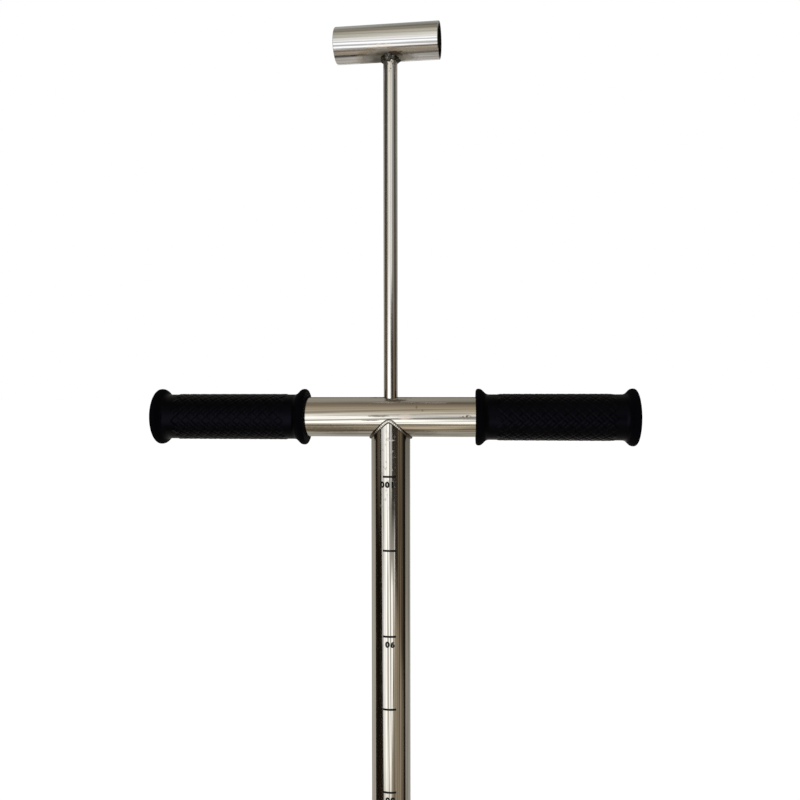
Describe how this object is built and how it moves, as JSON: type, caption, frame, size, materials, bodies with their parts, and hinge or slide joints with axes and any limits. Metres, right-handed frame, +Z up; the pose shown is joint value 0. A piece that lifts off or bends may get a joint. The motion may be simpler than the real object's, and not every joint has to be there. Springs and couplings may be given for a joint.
{
  "type": "soil sampler probe",
  "caption": "Stainless soil sampler: graduated core tube with a cutting edge under a T handle with rubber grips, and a sliding push rod and piston that eject the core.",
  "frame": {"origin": "centre of the cutting edge, the lowest point of the probe", "axes": "+Z up along the sampling tube to the rod handle, +X along the crossbar, -Y towards the graduated side"},
  "size_m": [0.3084, 0.036, 1.2865],
  "materials": {
    "tube_steel": "polished stainless tube with fine lengthwise lines",
    "rod_steel": "drawn stainless rod",
    "shoe_steel": "turned and hardened, with fine rings",
    "weld_steel": "rippled weld with heat tint",
    "grip_rubber": "moulded black rubber with a woven grip pattern",
    "piston_plastic": "turned natural nylon",
    "wiper_rubber": "plain black rubber"
  },
  "bodies": {
    "sampler": {"sampling_tube": "tube_steel", "cutting_shoe": "shoe_steel", "crossbar": "tube_steel", "crossbar_weld": "weld_steel", "left_grip": "grip_rubber", "right_grip": "grip_rubber"},
    "piston": {"piston_wiper": "wiper_rubber"},
    "plunger": {"push_rod": "rod_steel", "rod_handle": "tube_steel", "rod_handle_weld": "weld_steel", "piston_head": "piston_plastic", "piston_spacer": "rod_steel", "piston_washer": "rod_steel"}
  },
  "joints": [
    {"name": "rod_slide", "type": "slide", "parent": "sampler", "child": "piston", "axis": [0, 0, 1], "range_m": [-0.211, 0.775]},
    {"name": "rod_turn", "type": "hinge", "parent": "piston", "child": "plunger", "pos_m": [0, 0, 1.2747], "axis": [0, 0, 1], "continuous": true}
  ]
}
